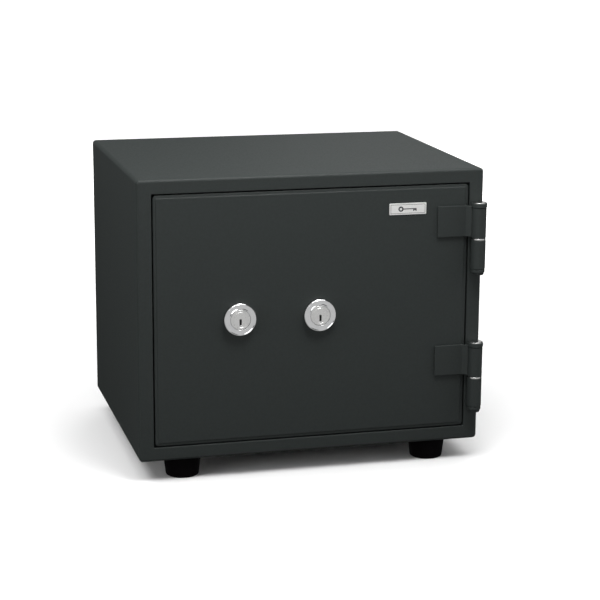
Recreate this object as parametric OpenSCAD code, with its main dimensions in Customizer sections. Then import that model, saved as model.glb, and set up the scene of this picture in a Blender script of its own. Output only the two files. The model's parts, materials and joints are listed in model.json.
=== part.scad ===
// Small fire-resistant safe with two key locks and two lift-off barrel hinges.
// Origin: on the floor, under the middle of the overall box. +X is the hinge side,
// -Y is the front and +Z is up. All sizes are in millimetres.

/* [Cabinet] */
// Width of the cabinet, without the hinges
case_w = 412; // [404:1:430]
// Depth of the cabinet, from front face to back face
case_d = 325; // [322:1:350]
// Height of the cabinet, without the feet
case_h = 330; // [326:1:345]
// Thickness of the outer case's sheet steel
case_t = 1.6; // [1.2:0.1:1.8]
// Outside radius of the case's folded edges
case_r = 3.5; // [2.5:0.5:5]
// Width of the border round the door
border = 17; // [16:0.5:19]

/* [Cavity] */
// Inside width of the liner
cavity_w = 326; // [310:1:328]
// Inside height of the liner
cavity_h = 243; // [230:1:245]
// Inside depth of the liner
cavity_d = 227; // [220:1:230]
// Thickness of the liner's sheet steel
liner_t = 1; // [0.8:0.1:1.2]

/* [Door] */
// Gap all round between the door and the case
door_gap = 1.6; // [1.5:0.1:1.9]
// Thickness of the door's front panel
skin_t = 2; // [1.6:0.1:2.4]
// Depth of the door's front slab
slab_d = 20; // [19:0.5:21]

/* [Hinges] */
// Distance from the middle of the cabinet to the hinge axis
hinge_x = 198; // [197:0.5:200]
// Distance from the front face forward to the hinge axis
hinge_y = 9.4; // [9.2:0.1:10]
// Radius of the hinge barrels
barrel_r = 8.5; // [7.8:0.1:8.6]
// Height of the upper hinge's washer above the cabinet's underside
split_z = 248; // [243:0.5:252]
// Distance between the two hinges
hinge_pitch = 168; // [160:0.5:172]

/* [Locks] */
// Distance of the left lock from the middle of the cabinet
left_lock_x = -88; // [-90:1:-86]
// Distance of the right lock from the middle of the cabinet
right_lock_x = 7; // [0:1:12]
// Outside radius of the lock's rose
rose_r = 19; // [17.5:0.5:20]
// Radius of the crank that throws a bolt
crank_r = 13; // [12.6:0.1:13.2]

/* [Feet] */
// Height of the feet
foot_h = 25; // [20:1:30]
// Distance of each foot from the middle of the cabinet
foot_x = 151; // [140:1:160]
// Distance of each foot from the front or back face
foot_inset = 27; // [26:1:40]

/* [Hidden] */
$fn = 64;

paint = "#3b403f";
liner_paint = "#b8b6ab";
bare_steel = "#a9acae";
polished = "#d2d3d3";
rubber = "#141415";
fireproof_fill = "#cfcabd";

// Where the working frame sits: x is centred, y = 0 is the front face, z = 0 the underside.
cap_r = barrel_r + 0.6;
hinge_proud = hinge_y + cap_r;
front_y = (hinge_proud - case_d) / 2;
mid_z = case_h / 2;

// Door opening and its two steps
open_w = case_w - 2 * border;
open_h = case_h - 2 * border + 1;
seal_gap = 2.8;
pan_t = 1.2;
// Room for the filling between the cavity's back and the case's back
back_fill = 43;
step_y = slab_d + pan_t + seal_gap;
step_in = 14;
throat_w = open_w - 2 * step_in;
throat_h = open_h - 2 * step_in;
mouth_y = case_d - back_fill - cavity_d;

// Door
door_w = open_w - 2 * door_gap;
door_h = open_h - 2 * door_gap;
plug_play_w = 10;
plug_play_h = 7;
plug_play_d = 2;
plug_w = throat_w - plug_play_w;
plug_h = throat_h - plug_play_h;
plug_back_y = mouth_y - plug_play_d;
cover_y = plug_back_y - pan_t;
carrier_y = 30;
carrier_t = 2;

// Boltwork
bolt_r = 7;
bolt_y = 41.5;
bolt_rise = 50;
bar_t = 3;
bar_y = bolt_y - bar_t / 2;
bolt_throw = crank_r * sqrt(2);
bolt_tip_x = -plug_w / 2 + 0.5;
crank_pin_r = 2.5;
slot_play = 0.6;
stud_r = 3;
dog_r = 6;
dog_reach = 13;
dog_z = [95, 235];

// Locks
guard_t = 2;
barrel_lock_r = 12.5;
core_r = 7.45;
disc_r = 11.75;
rose_h = 7;
// Depth of the dished ring round the plug's disc
dish_d = 0.9;
housing_back_y = 34;
cam_y = 36.2;
cam_t = 3;

// Cylinder, square and rectangle helpers
module along_y() { rotate([-90, 0, 0]) children(); }
module along_x() { rotate([0, 90, 0]) children(); }
module in_place() { translate([0, front_y, foot_h]) children(); }

// A rectangle with true round corners, centred
module round_rect(w, h, r) {
    square([w - 2 * r, h], center = true);
    square([w, h - 2 * r], center = true);
    for (x = [-1, 1], y = [-1, 1])
        translate([x * (w / 2 - r), y * (h / 2 - r)]) circle(r);
}

// A box that is centred on x and on the cabinet's middle height, from y0 to y1
module block(w, h, y0, y1) {
    translate([-w / 2, y0, mid_z - h / 2]) cube([w, y1 - y0, h]);
}

// The same box with rounded edges along y
module round_block(w, h, y0, y1, r) {
    translate([0, y1, mid_z]) rotate([90, 0, 0]) linear_extrude(y1 - y0) round_rect(w, h, r);
}

// The same box with every edge rounded
module soft_block(w, h, y0, y1, r) {
    intersection() {
        round_block(w, h, y0, y1, r);
        translate([0, (y0 + y1) / 2, mid_z - h / 2])
            linear_extrude(h) round_rect(w, y1 - y0, r);
        translate([-w / 2, (y0 + y1) / 2, mid_z])
            rotate([90, 0, 90]) linear_extrude(w) round_rect(y1 - y0, h, r);
    }
}

// A box whose four front edges and its edges along y are rounded, square at the back
module front_soft_block(w, h, y0, y1, r) {
    intersection() {
        soft_block(w, h, y0, y1 + 4 * r, r);
        block(w + 2, h + 2, y0 - 1, y1);
    }
}

module foot_places() {
    for (x = [-foot_x, foot_x], y = [foot_inset, case_d - foot_inset])
        translate([x, y, 0]) children();
}

module lock_places() {
    for (x = [left_lock_x, right_lock_x])
        translate([x, 0, mid_z]) children();
}

// ---- cabinet ----

foot_hole_r = 3.3;
rear_hem = 14;
// Room in the filling round a foot's nut and screw
screw_room_r = 9;
screw_room_h = 22;

module outer_case() {
    color(paint) difference() {
        soft_block(case_w, case_h, 0, case_d, case_r);
        round_block(case_w - 2 * case_t, case_h - 2 * case_t, case_t, case_d - case_t, case_r - case_t);
        block(open_w, open_h, -1, case_t + 1);
        block(case_w - 2 * rear_hem, case_h - 2 * rear_hem, case_d - case_t - 1, case_d + 1);
        foot_places() translate([0, 0, -1]) cylinder(r = foot_hole_r, h = case_t + 2);
    }
}

module back_panel() {
    color(paint)
        round_block(case_w - 2 * case_t, case_h - 2 * case_t,
            case_d - 2 * case_t, case_d - case_t, case_r - case_t);
}

socket_side = 18;
socket_depth = 15;
socket_t = 1;
dog_slot_d = 20;
dog_slot_y = 40;

// The hollows that the bolts are thrown into, and the boxes that line them
module bolt_slots(extra, x0, x1) {
    for (z = [-bolt_rise, bolt_rise])
        translate([x0, bolt_y - socket_side / 2 - extra, mid_z + z - socket_side / 2 - extra])
            cube([x1 - x0, socket_side + 2 * extra, socket_side + 2 * extra]);
}

module dog_slots(extra, x0, x1) {
    for (z = dog_z)
        translate([x0, dog_slot_y - dog_slot_d / 2 - extra, z - socket_side / 2 - extra])
            cube([x1 - x0, dog_slot_d + 2 * extra, socket_side + 2 * extra]);
}

module door_frame() {
    outer_w = open_w + 2 * case_t;
    outer_h = open_h + 2 * case_t;
    color(paint) difference() {
        union() {
            block(outer_w, outer_h, case_t, step_y + case_t);
            block(throat_w + 2 * case_t, throat_h + 2 * case_t, step_y, mouth_y);
        }
        block(open_w, open_h, 0, step_y);
        block(throat_w, throat_h, step_y - 1, mouth_y + 1);
        bolt_slots(0, -throat_w / 2 - case_t - 1, -throat_w / 2 + 1);
        dog_slots(0, throat_w / 2 - 1, throat_w / 2 + case_t + 1);
    }
}

module bolt_sockets() {
    wall_x = -throat_w / 2 - case_t;
    color(bare_steel) difference() {
        bolt_slots(socket_t, wall_x - socket_depth, wall_x);
        bolt_slots(0, wall_x - socket_depth + socket_t, wall_x + 1);
    }
}

module dog_sockets() {
    wall_x = throat_w / 2 + case_t;
    color(bare_steel) difference() {
        dog_slots(socket_t, wall_x, wall_x + socket_depth);
        dog_slots(0, wall_x - 1, wall_x + socket_depth - socket_t);
    }
}

rail_front = 12;
rail_l = cavity_d - rail_front - 2;
rivet_y = [for (share = [0.1, 0.5, 0.9]) mouth_y + rail_front + share * rail_l];
rail_z = mid_z - 2;
rail_leg = 12;
rail_t = 1;
rivet_hole_r = 2.1;

module rivet_places() {
    for (side = [-1, 1], y = rivet_y)
        translate([side * cavity_w / 2, y, rail_z - rail_leg / 2]) rotate([0, -90 * side, 0]) children();
}

module inner_liner() {
    outer_w = cavity_w + 2 * liner_t;
    outer_h = cavity_h + 2 * liner_t;
    color(liner_paint) difference() {
        union() {
            block(outer_w, outer_h, mouth_y, mouth_y + cavity_d + liner_t);
            block(throat_w + 2 * case_t, throat_h + 2 * case_t, mouth_y, mouth_y + liner_t);
        }
        block(cavity_w, cavity_h, mouth_y - 1, mouth_y + cavity_d);
        rivet_places() translate([0, 0, -liner_t - 1]) cylinder(r = rivet_hole_r, h = liner_t + 2);
    }
}

module body_insulation() {
    inner_w = case_w - 2 * case_t;
    inner_h = case_h - 2 * case_t;
    color(fireproof_fill) difference() {
        round_block(inner_w, inner_h, case_t, case_d - 2 * case_t, case_r - case_t);
        block(open_w + 2 * case_t, open_h + 2 * case_t, 0, step_y + case_t);
        block(throat_w + 2 * case_t, throat_h + 2 * case_t, step_y, mouth_y + liner_t);
        block(cavity_w + 2 * liner_t, cavity_h + 2 * liner_t, mouth_y, mouth_y + cavity_d + liner_t);
        bolt_slots(socket_t, -throat_w / 2 - case_t - socket_depth, -throat_w / 2);
        dog_slots(socket_t, throat_w / 2, throat_w / 2 + case_t + socket_depth);
        rivet_places() translate([0, 0, -liner_t - 4]) cylinder(r = 4, h = 5);
        foot_places() cylinder(r = screw_room_r, h = screw_room_h);
    }
}

// ---- shelf ----

shelf_t = 1;
shelf_front_y = mouth_y + 20;
shelf_back_y = mouth_y + cavity_d - 2;
shelf_lip = 12;

module shelf() {
    shelf_w = cavity_w - 3;
    lip_w = cavity_w - 2 * rail_leg - 4;
    color(liner_paint) union() {
        translate([-shelf_w / 2, shelf_front_y, rail_z])
            cube([shelf_w, shelf_back_y - shelf_front_y, shelf_t]);
        translate([-lip_w / 2, shelf_front_y, rail_z - shelf_lip])
            cube([lip_w, shelf_t, shelf_lip + shelf_t]);
        translate([-lip_w / 2, shelf_front_y, rail_z - shelf_lip])
            cube([lip_w, 9, shelf_t]);
        translate([-shelf_w / 2, shelf_back_y - shelf_t, rail_z])
            cube([shelf_w, shelf_t, shelf_lip]);
    }
}

module shelf_rails() {
    color(liner_paint) for (side = [0, 1]) mirror([side, 0, 0]) difference() {
        translate([-cavity_w / 2, mouth_y + rail_front, rail_z - rail_leg]) union() {
            cube([rail_t, rail_l, rail_leg]);
            translate([0, 0, rail_leg - rail_t]) cube([rail_leg, rail_l, rail_t]);
        }
        rivet_places() translate([0, 0, -1]) cylinder(r = rivet_hole_r, h = rail_t + 2);
    }
}

module rail_rivets() {
    shank_r = rivet_hole_r - 0.05;
    color(bare_steel) rivet_places() rotate_extrude()
        polygon([
            [0, -liner_t - 2.5], [3, -liner_t - 2.5], [3, -liner_t - 0.05], [shank_r, -liner_t - 0.05],
            [shank_r, rail_t + 0.05], [3.6, rail_t + 0.05], [3.2, rail_t + 0.9], [2, rail_t + 1.3],
            [0, rail_t + 1.3]]);
}

// ---- feet ----

foot_top_r = 22.5;
foot_base_r = 19;
foot_edge_r = 2.5;
foot_well_r = 10;
foot_well_h = 13;

module foot() {
    slope = (foot_top_r - foot_base_r) / foot_h;
    color(rubber) difference() {
        translate([0, 0, -foot_h]) rotate_extrude() {
            polygon([[0, 0], [foot_base_r - foot_edge_r, 0],
                for (a = [15 : 15 : 75]) [foot_base_r - foot_edge_r * (1 - sin(a)), foot_edge_r * (1 - cos(a))],
                [foot_base_r + slope * foot_edge_r, foot_edge_r], [foot_top_r, foot_h], [0, foot_h]]);
        }
        translate([0, 0, -foot_h - 1]) cylinder(r = foot_well_r, h = foot_well_h + 1);
        translate([0, 0, -foot_h]) cylinder(r = foot_hole_r, h = foot_h + 1);
    }
}

module foot_at(x_side, y) {
    translate([x_side * foot_x, y, 0]) foot();
}

washer_t = 1.5;
washer_z = -foot_h + foot_well_h - washer_t;

module foot_washers() {
    color(bare_steel) foot_places() translate([0, 0, washer_z]) difference() {
        cylinder(r = foot_well_r - 0.6, h = washer_t);
        translate([0, 0, -1]) cylinder(r = foot_hole_r, h = washer_t + 2);
    }
}

module foot_screws() {
    head_h = 4;
    shank_top = case_t + 9;
    color(bare_steel) foot_places() difference() {
        union() {
            translate([0, 0, washer_z - head_h]) cylinder(r = 6, h = head_h);
            translate([0, 0, washer_z]) cylinder(r = 3, h = shank_top - washer_z);
        }
        for (a = [0, 90])
            translate([0, 0, washer_z - head_h]) rotate([0, 0, a]) cube([7, 1.3, 3], center = true);
    }
}

module foot_nuts() {
    color(bare_steel) foot_places() translate([0, 0, case_t]) difference() {
        cylinder(r = 6.5, h = 6, $fn = 6);
        translate([0, 0, -1]) cylinder(r = 3.02, h = 8);
    }
}

// ---- hinges ----

knuckle_h = 41.5;
frame_knuckle_h = 39.5;
cap_h = 5;
hinge_washer_t = 2;
pin_r = 4.5;
pin_play = 0.05;
end_chamfer = 0.8;
hinge_z = [split_z, split_z - hinge_pitch];

module hinge_place(z) { translate([hinge_x, -hinge_y, z]) children(); }

// A turned barrel with chamfered ends, standing on z = 0
module barrel(h, bore_r) {
    rotate_extrude() polygon([[bore_r, 0], [barrel_r - end_chamfer, 0], [barrel_r, end_chamfer],
        [barrel_r, h - end_chamfer], [barrel_r - end_chamfer, h], [bore_r, h]]);
}

// The door's half of a hinge: a joggled plate welded to the door, and its knuckle
module hinge_leaf(z) {
    leaf_t = 3;
    leaf_h = 36.8;
    leaf_end_x = 149.5 - hinge_x;
    joggle_x = 184 - hinge_x;
    joggle_w = 5;
    joggle_up = 4.5;
    face_y = hinge_y;
    knuckle_z = hinge_washer_t / 2;
    color(paint) hinge_place(z) difference() {
        union() {
            translate([0, 0, knuckle_z]) barrel(knuckle_h, 1);
            translate([0, 0, knuckle_z + knuckle_h - cap_h]) cylinder(r = cap_r, h = cap_h);
            translate([0, 0, knuckle_z + 1]) linear_extrude(leaf_h) polygon([
                [leaf_end_x, face_y], [leaf_end_x, face_y - leaf_t],
                [joggle_x, face_y - leaf_t], [joggle_x + joggle_w, face_y - leaf_t - joggle_up],
                [-3, face_y - leaf_t - joggle_up], [-3, face_y - joggle_up],
                [joggle_x + joggle_w, face_y - joggle_up], [joggle_x, face_y]]);
        }
        translate([0, 0, -1]) cylinder(r = pin_r + pin_play, h = knuckle_h + 5);
    }
}

// The cabinet's half of a hinge, welded to the front face
module frame_knuckle(z) {
    collar_h = 2.5;
    color(paint) hinge_place(z) difference() {
        translate([0, 0, -hinge_washer_t / 2 - frame_knuckle_h]) union() {
            barrel(frame_knuckle_h, 1);
            translate([0, 0, -collar_h]) cylinder(r1 = barrel_r - 1.6, r2 = barrel_r - 0.9, h = collar_h + 0.5);
            translate([-5, 0, 1]) cube([10, hinge_y, frame_knuckle_h - 2]);
        }
        translate([0, 0, 2 - frame_knuckle_h]) cylinder(r = pin_r + 0.02, h = frame_knuckle_h);
    }
}

module hinge_washer(z) {
    color(polished) hinge_place(z) translate([0, 0, -hinge_washer_t / 2]) difference() {
        cylinder(r = barrel_r - 0.3, h = hinge_washer_t);
        translate([0, 0, -1]) cylinder(r = pin_r + pin_play, h = hinge_washer_t + 2);
    }
}

module hinge_pin(z) {
    low = 2.5 - frame_knuckle_h;
    top = hinge_washer_t / 2 + knuckle_h;
    color(polished) hinge_place(z) rotate_extrude()
        polygon([[0, low], [pin_r - 1, low], [pin_r, low + 1], [pin_r, top + 0.02], [barrel_r, top + 0.02],
            [barrel_r, top + 0.8], [barrel_r - 0.4, top + 1.2], [0, top + 1.2]]);
}

// ---- door ----

module door_skin() {
    color(paint) difference() {
        front_soft_block(door_w, door_h, 0, slab_d, case_r);
        round_block(door_w - 2 * skin_t, door_h - 2 * skin_t, skin_t, slab_d + 1, case_r - skin_t);
        lock_places() along_y() translate([0, 0, -1]) cylinder(r = barrel_lock_r + 0.2, h = skin_t + 2);
    }
}

guard_x = [-125, 45];
guard_h = 70;
lock_room_r = 21;

module guard_block(y0, y1) {
    translate([guard_x[0], y0, mid_z - guard_h / 2]) cube([guard_x[1] - guard_x[0], y1 - y0, guard_h]);
}

module lock_guard_plate() {
    color(bare_steel) difference() {
        guard_block(skin_t, skin_t + guard_t);
        lock_places() along_y() cylinder(r = barrel_lock_r + 0.2, h = 10);
    }
}

module door_insulation() {
    color(fireproof_fill) difference() {
        union() {
            round_block(door_w - 2 * skin_t, door_h - 2 * skin_t, skin_t, slab_d, case_r - skin_t);
            block(plug_w - 2 * pan_t, plug_h - 2 * pan_t, slab_d - 1, carrier_y);
        }
        guard_block(0, skin_t + guard_t);
        lock_places() along_y() cylinder(r = lock_room_r, h = carrier_y + 1);
    }
}

module lock_carrier_plate() {
    color(bare_steel) difference() {
        block(plug_w - 2 * pan_t, plug_h - 2 * pan_t, carrier_y, carrier_y + carrier_t);
        lock_places() along_y() translate([0, 0, carrier_y - 1]) cylinder(r = barrel_lock_r + 0.3, h = 5);
    }
}

cover_w = plug_w - 8;
cover_h = plug_h - 8;
pan_lip = 16;
cover_screw_in = 10;
cover_hole_r = 1.8;

module cover_screw_places() {
    for (x = [-1, -1 / 3, 1 / 3, 1], z = [-1, 1])
        translate([x * (plug_w / 2 - cover_screw_in), cover_y, mid_z + z * (plug_h / 2 - cover_screw_in)])
            children();
    for (x = [-1, 1])
        translate([x * (plug_w / 2 - cover_screw_in), cover_y, mid_z]) children();
}

module door_inner_pan() {
    color(liner_paint) difference() {
        union() {
            block(door_w - 1, door_h - 1, slab_d, slab_d + pan_t);
            block(plug_w, plug_h, slab_d, cover_y);
        }
        block(plug_w - 2 * pan_t, plug_h - 2 * pan_t, slab_d - 1, cover_y - pan_t);
        block(plug_w - 2 * pan_lip, plug_h - 2 * pan_lip, slab_d - 1, cover_y + 1);
        for (z = [-bolt_rise, bolt_rise])
            translate([-plug_w / 2 - 1, bolt_y, mid_z + z]) along_x() cylinder(r = bolt_r + 0.3, h = pan_t + 2);
        for (z = dog_z)
            translate([plug_w / 2 - pan_t - 1, bolt_y, z]) along_x() cylinder(r = dog_r + 0.05, h = pan_t + 2);
        cover_screw_places() along_y() translate([0, 0, -pan_t - 1]) cylinder(r = cover_hole_r, h = pan_t + 2);
    }
}

module boltwork_cover() {
    color(liner_paint) difference() {
        round_block(cover_w, cover_h, cover_y, plug_back_y, 3);
        cover_screw_places() along_y() translate([0, 0, -1]) cylinder(r = cover_hole_r, h = pan_t + 2);
    }
}

module cover_screws() {
    head_h = 0.9;
    color(bare_steel) cover_screw_places() along_y() difference() {
        rotate_extrude() polygon([[0, -6], [1.75, -6], [1.75, pan_t + 0.02], [3.3, pan_t + 0.02],
            [3, pan_t + 0.6], [2, pan_t + head_h], [0, pan_t + head_h]]);
        for (a = [0, 90])
            translate([0, 0, pan_t + head_h]) rotate([0, 0, a]) cube([3.4, 0.7, 1], center = true);
    }
}

module door_seal() {
    seal_w = 8;
    seal_out_w = open_w - 10;
    seal_out_h = open_h - 10;
    y0 = slab_d + pan_t;
    y1 = step_y - 0.3;
    color(rubber) difference() {
        round_block(seal_out_w, seal_out_h, y0, y1, 3);
        block(seal_out_w - 2 * seal_w, seal_out_h - 2 * seal_w, y0 - 1, y1 + 1);
    }
}

module label_plate() {
    label_w = 45;
    label_h = 13.5;
    label_t = 0.8;
    label_x = 113;
    label_up = 120.3;
    color(polished) translate([label_x, -label_t / 2, mid_z + label_up]) rotate([90, 0, 0])
        linear_extrude(label_t, center = true) round_rect(label_w, label_h, 0.6);
}

module dog_bolts() {
    color(polished) for (z = dog_z) translate([plug_w / 2, bolt_y, z]) along_x() {
        translate([0, 0, -pan_t - 3.02]) cylinder(r = 9, h = 3);
        translate([0, 0, -pan_t - 3]) cylinder(r = dog_r, h = dog_reach + pan_t + 1);
        translate([0, 0, dog_reach - 2]) cylinder(r1 = dog_r, r2 = dog_r - 1.5, h = 1.5);
    }
}

// ---- locks ----

// What follows is drawn round a lock's axis: z runs into the door, and +y points down
module at_lock(x) { translate([x, 0, mid_z]) along_y() children(); }

module lock_housing(x) {
    lip_r = rose_r - 0.8;
    dish_r = (lip_r + disc_r + 0.7) / 2;
    dish_half = lip_r - 0.3 - dish_r;
    color(polished) at_lock(x) rotate_extrude() polygon([
        [core_r + 0.05, housing_back_y], [barrel_lock_r, housing_back_y], [barrel_lock_r, 0],
        [rose_r, 0], [rose_r, 0.8 - rose_h], [lip_r, -rose_h],
        for (t = [1 : -0.25 : -1]) [dish_r + t * dish_half, dish_d * (1 - t * t) - rose_h],
        [disc_r + 0.15, -rose_h], [disc_r + 0.15, -3.8], [core_r + 0.05, -3.8]]);
}

module lock_nut(x) {
    color(bare_steel) at_lock(x) translate([0, 0, skin_t + guard_t]) difference() {
        cylinder(r = 19.5, h = 5, $fn = 6);
        translate([0, 0, -1]) cylinder(r = barrel_lock_r + 0.02, h = 7);
    }
}

tail_side = 9;

module lock_plug(x) {
    keyway_w = 2.6;
    keyway_top = -0.8;
    keyway_low = 6.9;
    color(polished) at_lock(x) difference() {
        union() {
            rotate_extrude() polygon([[0, -rose_h + 0.1], [disc_r - 0.5, -rose_h + 0.1], [disc_r, -rose_h + 0.6],
                [disc_r, -4], [core_r, -4], [core_r, cam_y], [0, cam_y]]);
            translate([-tail_side / 2, -tail_side / 2, cam_y - 1]) cube([tail_side, tail_side, cam_t + 1]);
        }
        translate([-keyway_w / 2, keyway_top, -rose_h - 1])
            cube([keyway_w, keyway_low - keyway_top, rose_h + 24]);
        translate([0, 0, cam_y - 6]) cylinder(r = 2.05, h = 10);
    }
}

// The crank arm, at 45 degrees to the right; up is 1 above the axis and -1 below it
module lock_cam(x, up) {
    color(bare_steel) at_lock(x) rotate([0, 0, -45 * up]) union() {
        translate([0, 0, cam_y]) linear_extrude(cam_t) difference() {
            union() {
                circle(9);
                translate([crank_r / 2, 0]) square([crank_r, 10], center = true);
                translate([crank_r, 0]) circle(5);
            }
            rotate([0, 0, 45]) square(tail_side, center = true);
        }
        translate([crank_r, 0, cam_y + cam_t - 0.5]) cylinder(r = crank_pin_r, h = 5.5);
    }
}

module cam_screw(x) {
    color(bare_steel) at_lock(x) {
        translate([0, 0, cam_y + cam_t]) difference() {
            cylinder(r = 5, h = 1.8);
            translate([0, 0, 1.8]) cube([12, 1, 1.4], center = true);
        }
        translate([0, 0, cam_y - 5]) cylinder(r = 2, h = cam_t + 5.02);
    }
}

// ---- boltwork ----

arm_h = 18;
arm_left_x = -148;
fork_half = 13;
// Where each guide slot's stud stands, from the middle of the cabinet
upper_stud_x = [-128, -96];
lower_stud_x = [-128, -20];

// One bolt's bar, flat in x and z: an arm along the bolt's line and a fork round the crank pin
module bar_outline(pin_x, fork_end, studs, up) {
    pin_near = crank_r / sqrt(2) - crank_pin_r - 0.2;
    pin_far = crank_r + crank_pin_r + 1;
    right_x = pin_x + fork_half;
    difference() {
        union() {
            translate([arm_left_x, up * bolt_rise - arm_h / 2]) square([right_x - arm_left_x, arm_h]);
            translate([pin_x - fork_half, up > 0 ? pin_near : -bolt_rise])
                square([2 * fork_half, bolt_rise - pin_near]);
        }
        translate([pin_x - crank_pin_r - slot_play, up > 0 ? pin_near - 1 : -pin_far])
            square([2 * (crank_pin_r + slot_play), pin_far - pin_near + 1]);
        for (x = studs) translate([x, up * bolt_rise]) {
            translate([0, -stud_r - 0.2]) square([bolt_throw, 2 * stud_r + 0.4]);
            circle(stud_r + 0.2);
            translate([bolt_throw, 0]) circle(stud_r + 0.2);
        }
    }
}

module bolt_bar(lock_x, studs, up) {
    pin_x = lock_x + crank_r / sqrt(2);
    color(bare_steel) translate([0, bar_y + bar_t, mid_z]) rotate([90, 0, 0])
        linear_extrude(bar_t) bar_outline(pin_x, fork_half, studs, up);
}

module bolt(up) {
    rod_end_x = arm_left_x + 12;
    color(polished) translate([0, bolt_y, mid_z + up * bolt_rise]) difference() {
        translate([bolt_tip_x, 0, 0]) along_x() union() {
            translate([0, 0, 1.5]) cylinder(r = bolt_r, h = rod_end_x - bolt_tip_x - 1.5);
            cylinder(r1 = bolt_r - 1.5, r2 = bolt_r, h = 1.5);
        }
        translate([arm_left_x, -bar_t / 2, -bolt_r - 1]) cube([20, bar_t, 2 * bolt_r + 2]);
    }
}

module guide_studs() {
    collar_r = 5.5;
    play = 0.3;
    head_h = 1.7;
    neck_low = bar_y - carrier_y - carrier_t - play;
    neck_high = bar_y + bar_t - carrier_y - carrier_t + play;
    color(bare_steel) for (up = [-1, 1])
        for (x = up > 0 ? upper_stud_x : lower_stud_x)
            translate([x, carrier_y + carrier_t, mid_z + up * bolt_rise]) along_y() rotate_extrude()
                polygon([
                    [0, 0], [collar_r, 0], [collar_r, neck_low], [stud_r, neck_low],
                    [stud_r, neck_high], [collar_r, neck_high], [collar_r, neck_high + head_h],
                    [0, neck_high + head_h]]);
}

in_place() {
    outer_case();
    back_panel();
    door_frame();
    inner_liner();
    body_insulation();
    bolt_sockets();
    dog_sockets();
    shelf();
    shelf_rails();
    rail_rivets();
    foot_at(-1, foot_inset);  // foot_front_left
    foot_at(1, foot_inset);  // foot_front_right
    foot_at(-1, case_d - foot_inset);  // foot_rear_left
    foot_at(1, case_d - foot_inset);  // foot_rear_right
    foot_washers();
    foot_screws();
    foot_nuts();
    frame_knuckle(hinge_z[0]);  // upper_frame_knuckle
    frame_knuckle(hinge_z[1]);  // lower_frame_knuckle
    hinge_pin(hinge_z[0]);  // upper_hinge_pin
    hinge_pin(hinge_z[1]);  // lower_hinge_pin
    hinge_washer(hinge_z[0]);  // upper_hinge_washer
    hinge_washer(hinge_z[1]);  // lower_hinge_washer
    door_skin();
    lock_guard_plate();
    door_insulation();
    lock_carrier_plate();
    door_inner_pan();
    boltwork_cover();
    cover_screws();
    door_seal();
    hinge_leaf(hinge_z[0]);  // upper_hinge_leaf
    hinge_leaf(hinge_z[1]);  // lower_hinge_leaf
    label_plate();
    dog_bolts();
    guide_studs();
    lock_housing(left_lock_x);  // left_lock_housing
    lock_housing(right_lock_x);  // right_lock_housing
    lock_nut(left_lock_x);  // left_lock_nut
    lock_nut(right_lock_x);  // right_lock_nut
    lock_plug(left_lock_x);  // left_lock_plug
    lock_plug(right_lock_x);  // right_lock_plug
    lock_cam(left_lock_x, 1);  // left_lock_cam
    lock_cam(right_lock_x, -1);  // right_lock_cam
    cam_screw(left_lock_x);  // left_cam_screw
    cam_screw(right_lock_x);  // right_cam_screw
    bolt_bar(left_lock_x, upper_stud_x, 1);  // upper_bolt_bar
    bolt_bar(right_lock_x, lower_stud_x, -1);  // lower_bolt_bar
    bolt(1);  // upper_bolt
    bolt(-1);  // lower_bolt
}
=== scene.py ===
"""Looks for the small fire-resistant safe: detailed meshes and procedural materials round the CAD frame.

Shapes are given in millimetres in the cabinet's own frame: x from the middle of the door,
y back from the front face, z up from the underside of the case. place() turns them into the row frame.
"""

import json
import math

import bmesh
import bpy
from mathutils import Matrix, Vector


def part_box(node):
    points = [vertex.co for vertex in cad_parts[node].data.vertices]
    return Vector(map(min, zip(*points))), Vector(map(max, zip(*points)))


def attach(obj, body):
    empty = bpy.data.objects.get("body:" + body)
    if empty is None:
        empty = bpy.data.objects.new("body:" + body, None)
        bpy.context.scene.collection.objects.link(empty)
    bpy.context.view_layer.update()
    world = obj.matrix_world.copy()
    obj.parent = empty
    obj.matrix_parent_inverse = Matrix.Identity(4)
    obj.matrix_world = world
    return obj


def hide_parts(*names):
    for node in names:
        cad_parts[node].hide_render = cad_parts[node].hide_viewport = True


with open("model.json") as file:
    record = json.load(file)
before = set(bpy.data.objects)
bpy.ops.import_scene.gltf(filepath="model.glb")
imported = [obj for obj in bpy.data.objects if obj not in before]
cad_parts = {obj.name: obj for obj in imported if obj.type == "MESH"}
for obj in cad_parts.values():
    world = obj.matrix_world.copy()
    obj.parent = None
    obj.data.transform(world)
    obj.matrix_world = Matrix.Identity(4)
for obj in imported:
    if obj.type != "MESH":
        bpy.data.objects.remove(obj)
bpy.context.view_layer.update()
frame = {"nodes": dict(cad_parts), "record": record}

MM = 0.001
case_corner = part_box("outer_case")[0]
FRONT_Y, UNDERSIDE_Z = case_corner.y, case_corner.z


def place(x, y, z):
    """A point of the cabinet's frame, in millimetres, as a point of the row frame."""
    return Vector((x * MM, y * MM + FRONT_Y, z * MM + UNDERSIDE_Z))


def measured(node):
    """A CAD node's lowest and highest corner in the cabinet's frame, in millimetres."""
    low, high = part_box(node)
    shift = Vector((0, FRONT_Y, UNDERSIDE_Z))
    return (low - shift) / MM, (high - shift) / MM


# ---------------------------------------------------------------- sizes, from the CAD frame

SHEET = 1.6
BEND_R = 1.6
EDGE_R = 3.5
CORNER_R = 4.4
X, Y, Z = range(3)


def highest(node):
    """A CAD node's highest corner in the cabinet's frame, in millimetres."""
    return measured(node)[1]


def middle(node, axis):
    """The middle of a CAD node's box along one axis."""
    low, high = measured(node)
    return (low[axis] + high[axis]) / 2


HALF_W, DEPTH, HEIGHT = highest("outer_case")
MID_Z = HALF_H = HEIGHT / 2

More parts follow.
